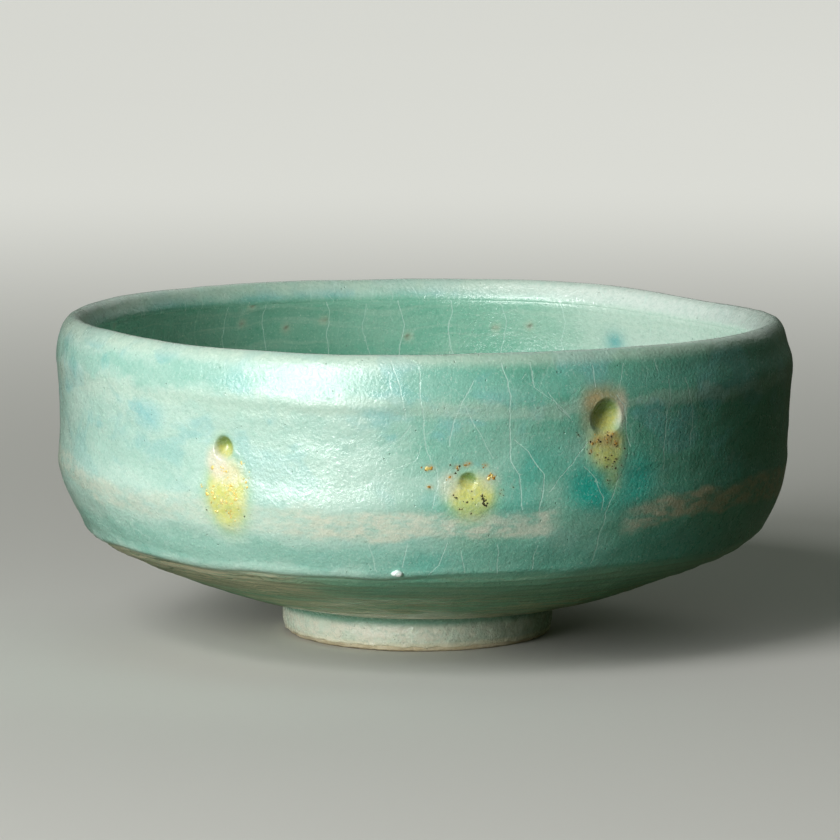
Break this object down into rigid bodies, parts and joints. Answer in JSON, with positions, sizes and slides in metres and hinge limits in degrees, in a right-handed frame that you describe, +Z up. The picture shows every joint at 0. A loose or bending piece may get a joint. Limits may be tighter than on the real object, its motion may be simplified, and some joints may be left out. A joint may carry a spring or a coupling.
{
  "type": "matcha bowl",
  "caption": "Wide, low thrown tea bowl on a small foot ring, with a rounded lip, thick turquoise glaze, yellow glazed press marks with gold flecks, and a shallow tea pool inside.",
  "frame": {"origin": "middle of the glazed wall's outline on the plane of the resting face, at the bottom of the foot ring; the foot itself is centred 1.2 mm to -X of it", "axes": "+Z up along the wall's axis, out of the bowl's mouth; -Y towards the front, where the three press marks are; +X to the right of someone who looks at the front"},
  "size_m": [0.1398, 0.1398, 0.0609],
  "materials": {
    "clay": "dry, unglazed, finely rough",
    "turquoise_glaze": "gloss with fine orange peel, pooled and crazed",
    "inner_glaze": "gloss, crazed, with pinholes",
    "foot_glaze": "gloss, thin and whitish, rough at its lower edge",
    "yellow_glaze": "gloss, running into the glaze round it",
    "gold": "bright thin flecks under a skin of glaze",
    "white_glaze": "gloss"
  },
  "bodies": {
    "root": {"clay_body": "clay", "foot_ring": "clay", "outer_glaze": "turquoise_glaze", "inner_glaze": "inner_glaze", "foot_glaze": "foot_glaze", "yellow_spot_left": "yellow_glaze", "yellow_spot_middle": "yellow_glaze", "yellow_spot_right": "yellow_glaze", "gold_flecks": "gold", "glaze_bead": "white_glaze"}
  },
  "joints": []
}
